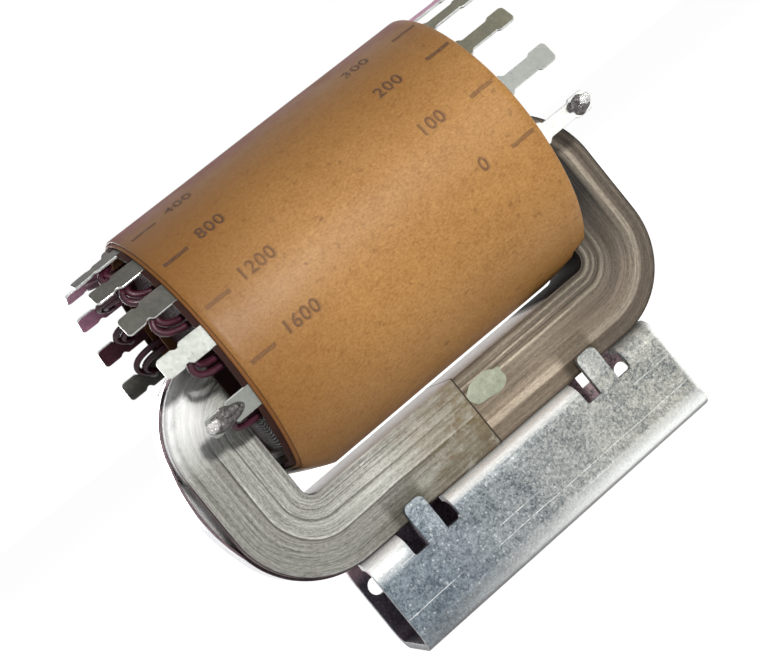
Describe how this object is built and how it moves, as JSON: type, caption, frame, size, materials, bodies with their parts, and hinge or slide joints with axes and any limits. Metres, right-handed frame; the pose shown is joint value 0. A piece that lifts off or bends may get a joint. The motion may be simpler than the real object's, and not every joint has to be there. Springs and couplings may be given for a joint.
{
  "type": "cut-core matching transformer",
  "caption": "Cut-core audio matching transformer with a round paper-wrapped coil, flat solder tags at both coil ends and a folded steel channel bracket that clips onto the lower core leg.",
  "frame": {"origin": "on the outer face of the bracket's foot, under the core's lower joint, midway between the core's two faces", "axes": "+X along the core's legs from the left core half to the right one, -Y towards the face with the printed numbers, +Z from the bracket's foot up to the coil"},
  "size_m": [0.0674, 0.0384, 0.0627],
  "materials": {
    "core_left": "ground bare steel strip, lightly rusted",
    "core_right": "varnished steel strip, dark brown grey",
    "shim": "paper shim soaked with varnish",
    "band": "plain steel strapping",
    "bracket": "zinc plated sheet with spangles and scratches",
    "pressboard": "dark pressboard",
    "winding": "enamelled copper wire soaked with varnish",
    "insulation": "interleaving paper",
    "sleeve": "dark kraft paper",
    "wrap": "kraft paper with dark fibres and printed marks",
    "tag": "tinned sheet metal",
    "lead": "dark violet enamel",
    "solder": "soft solder"
  },
  "bodies": {
    "root": {"core_half_left": "core_left", "core_half_right": "core_right", "gap_shim_lower": "shim", "gap_shim_upper": "shim", "core_band": "band", "band_seal": "band", "mounting_bracket": "bracket", "coil_former": "pressboard", "primary_winding": "winding", "winding_barrier": "insulation", "secondary_winding": "winding", "winding_cover": "insulation", "tag_layer": "pressboard", "inner_sleeve": "sleeve", "label_wrap": "wrap", "tag_left_1": "tag", "tag_left_2": "tag", "tag_left_3": "tag", "tag_left_4": "tag", "tag_left_5": "tag", "tag_left_6": "tag", "tag_left_7": "tag", "tag_left_8": "tag", "tag_left_9": "tag", "tag_right_1": "tag", "tag_right_2": "tag", "tag_right_3": "tag", "tag_right_4": "tag", "tag_right_5": "tag", "lead_wires_left": "lead", "lead_wires_right": "lead", "solder_left": "solder", "solder_right": "solder"}
  },
  "joints": []
}
